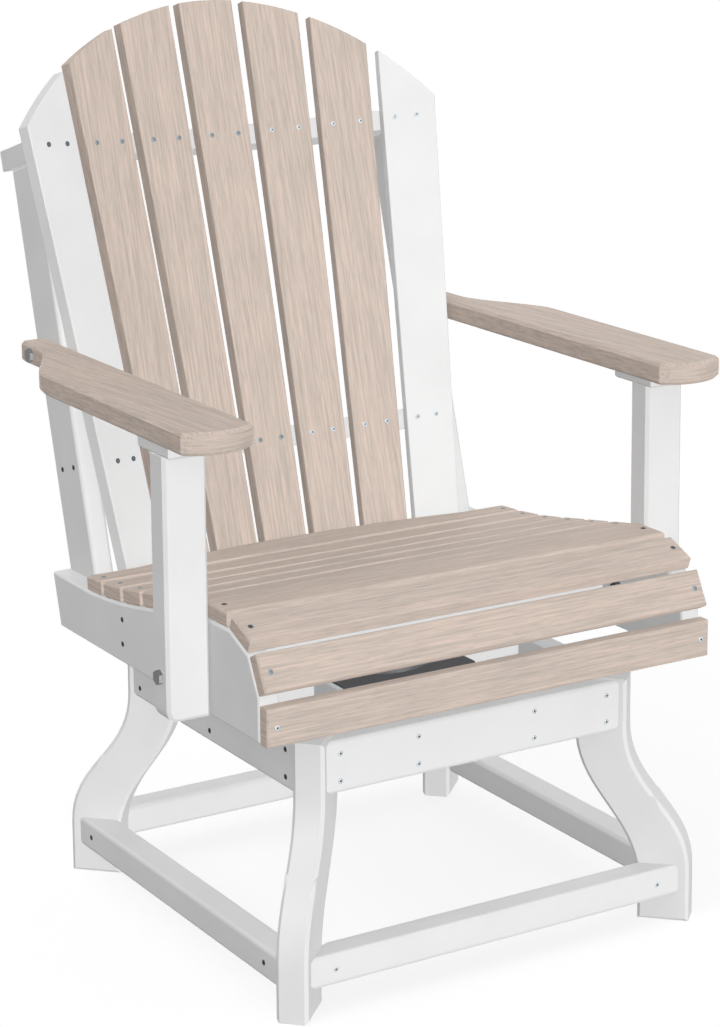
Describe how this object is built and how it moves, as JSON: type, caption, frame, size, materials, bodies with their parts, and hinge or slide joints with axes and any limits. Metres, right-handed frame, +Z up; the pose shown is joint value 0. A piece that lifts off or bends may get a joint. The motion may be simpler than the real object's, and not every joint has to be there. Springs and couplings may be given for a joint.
{
  "type": "adirondack swivel chair",
  "caption": "Slatted chair with a fan back, flat arms and a waterfall seat that turns on a splayed four-legged base.",
  "frame": {"origin": "on the floor, at the middle of the chair's bounding box", "axes": "+Z up, +Y towards the back of the chair, +X to the right of someone who faces the chair"},
  "size_m": [0.743, 0.7578, 1.0947],
  "materials": {
    "white_lumber": "smooth white recycled-plastic lumber with eased edges",
    "tan_lumber": "tan recycled-plastic lumber with a fine embossed wood grain along each board",
    "black_steel": "black powder-coated pressed steel",
    "bright_steel": "plain stainless steel fasteners and balls"
  },
  "bodies": {
    "base": {"leg_front_left": "white_lumber", "leg_front_right": "white_lumber", "leg_rear_right": "white_lumber", "leg_rear_left": "white_lumber", "apron_front": "white_lumber", "apron_right": "white_lumber", "apron_rear": "white_lumber", "apron_left": "white_lumber", "stretcher_front": "white_lumber", "stretcher_right": "white_lumber", "stretcher_rear": "white_lumber", "stretcher_left": "white_lumber", "base_rail_left": "white_lumber", "base_rail_right": "white_lumber", "base_block_left": "white_lumber", "base_block_right": "white_lumber", "swivel_lower_plate": "black_steel", "swivel_ball_ring": "bright_steel", "swivel_pin": "bright_steel", "swivel_pin_nut": "bright_steel"},
    "seat": {"swivel_upper_plate": "black_steel", "seat_slat_1": "tan_lumber", "seat_slat_2": "tan_lumber", "seat_slat_3": "tan_lumber", "seat_slat_4": "tan_lumber", "seat_slat_5": "tan_lumber", "seat_slat_6": "tan_lumber", "seat_slat_7": "tan_lumber", "seat_nose_upper": "tan_lumber", "seat_nose_lower": "tan_lumber", "seat_front_board": "tan_lumber", "seat_cross_front": "white_lumber", "seat_cross_rear": "white_lumber", "seat_side_left": "white_lumber", "seat_side_right": "white_lumber", "back_upright_left": "white_lumber", "back_upright_right": "white_lumber", "back_rail_upper": "white_lumber", "back_rail_lower": "white_lumber", "back_splat_1": "white_lumber", "back_splat_2": "tan_lumber", "back_splat_3": "tan_lumber", "back_splat_4": "tan_lumber", "back_splat_5": "tan_lumber", "back_splat_6": "tan_lumber", "back_splat_7": "white_lumber", "arm_post_left": "white_lumber", "arm_post_right": "white_lumber", "arm_cleat_left": "white_lumber", "arm_cleat_right": "white_lumber", "arm_left": "tan_lumber", "arm_right": "tan_lumber", "post_bolt_left": "bright_steel", "post_bolt_right": "bright_steel", "post_nut_left": "bright_steel", "post_nut_right": "bright_steel", "arm_bolt_left": "bright_steel", "arm_bolt_right": "bright_steel", "arm_nut_left": "bright_steel", "arm_nut_right": "bright_steel"}
  },
  "joints": [
    {"name": "seat_swivel", "type": "hinge", "parent": "base", "child": "seat", "pos_m": [0, -0.08543, 0.3198], "axis": [0, 0, 1], "continuous": true}
  ]
}
